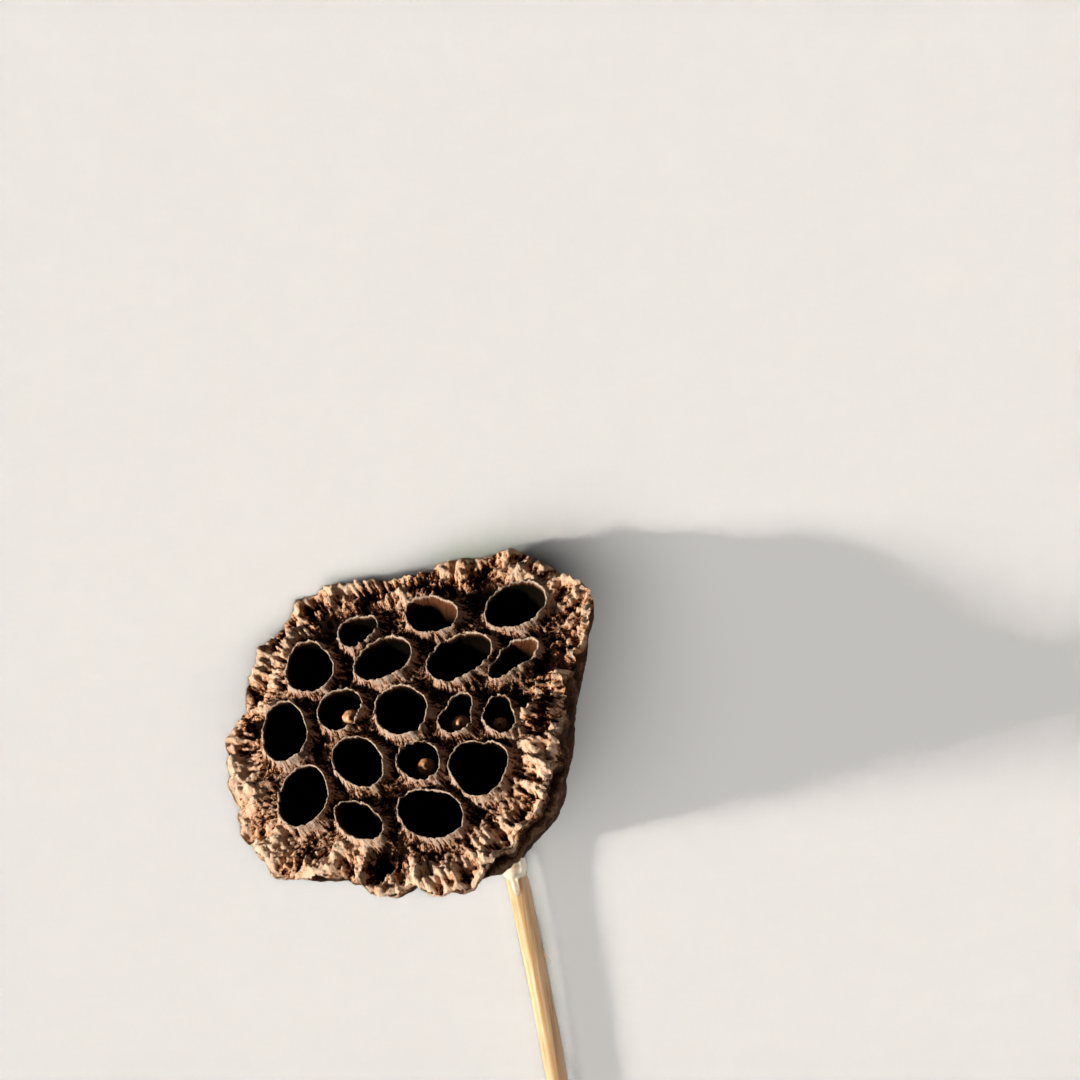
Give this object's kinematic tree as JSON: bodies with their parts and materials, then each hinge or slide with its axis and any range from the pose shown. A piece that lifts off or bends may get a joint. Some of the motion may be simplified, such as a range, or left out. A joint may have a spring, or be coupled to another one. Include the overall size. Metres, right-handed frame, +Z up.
{
  "type": "dried lotus pod",
  "caption": "Dried lotus seed pod with open seed cells in a wrinkled, domed face, glued to a slender fluted reed stem that carries it; it lies on its side as cut dried decoration.",
  "frame": {"origin": "centre of the bounding box's base, on the floor that the pod and the stem's end lie on", "axes": "+Z up from the floor; +Y along the stem, from the pod to the stem's cut end; +X across"},
  "size_m": [0.0822, 0.2486, 0.0732],
  "materials": {
    "pod": "dry, wrinkled, matt brown",
    "seed": "smooth, hard, slightly shiny",
    "stem": "dry straw with fine flutes, satin",
    "glue_bead": "hardened hot glue, glossy and slightly cloudy"
  },
  "bodies": {
    "root": {"pod": "pod", "seed_1": "seed", "seed_2": "seed", "seed_3": "seed", "seed_4": "seed", "seed_5": "seed", "stem": "stem", "glue_bead": "glue_bead"}
  },
  "joints": []
}
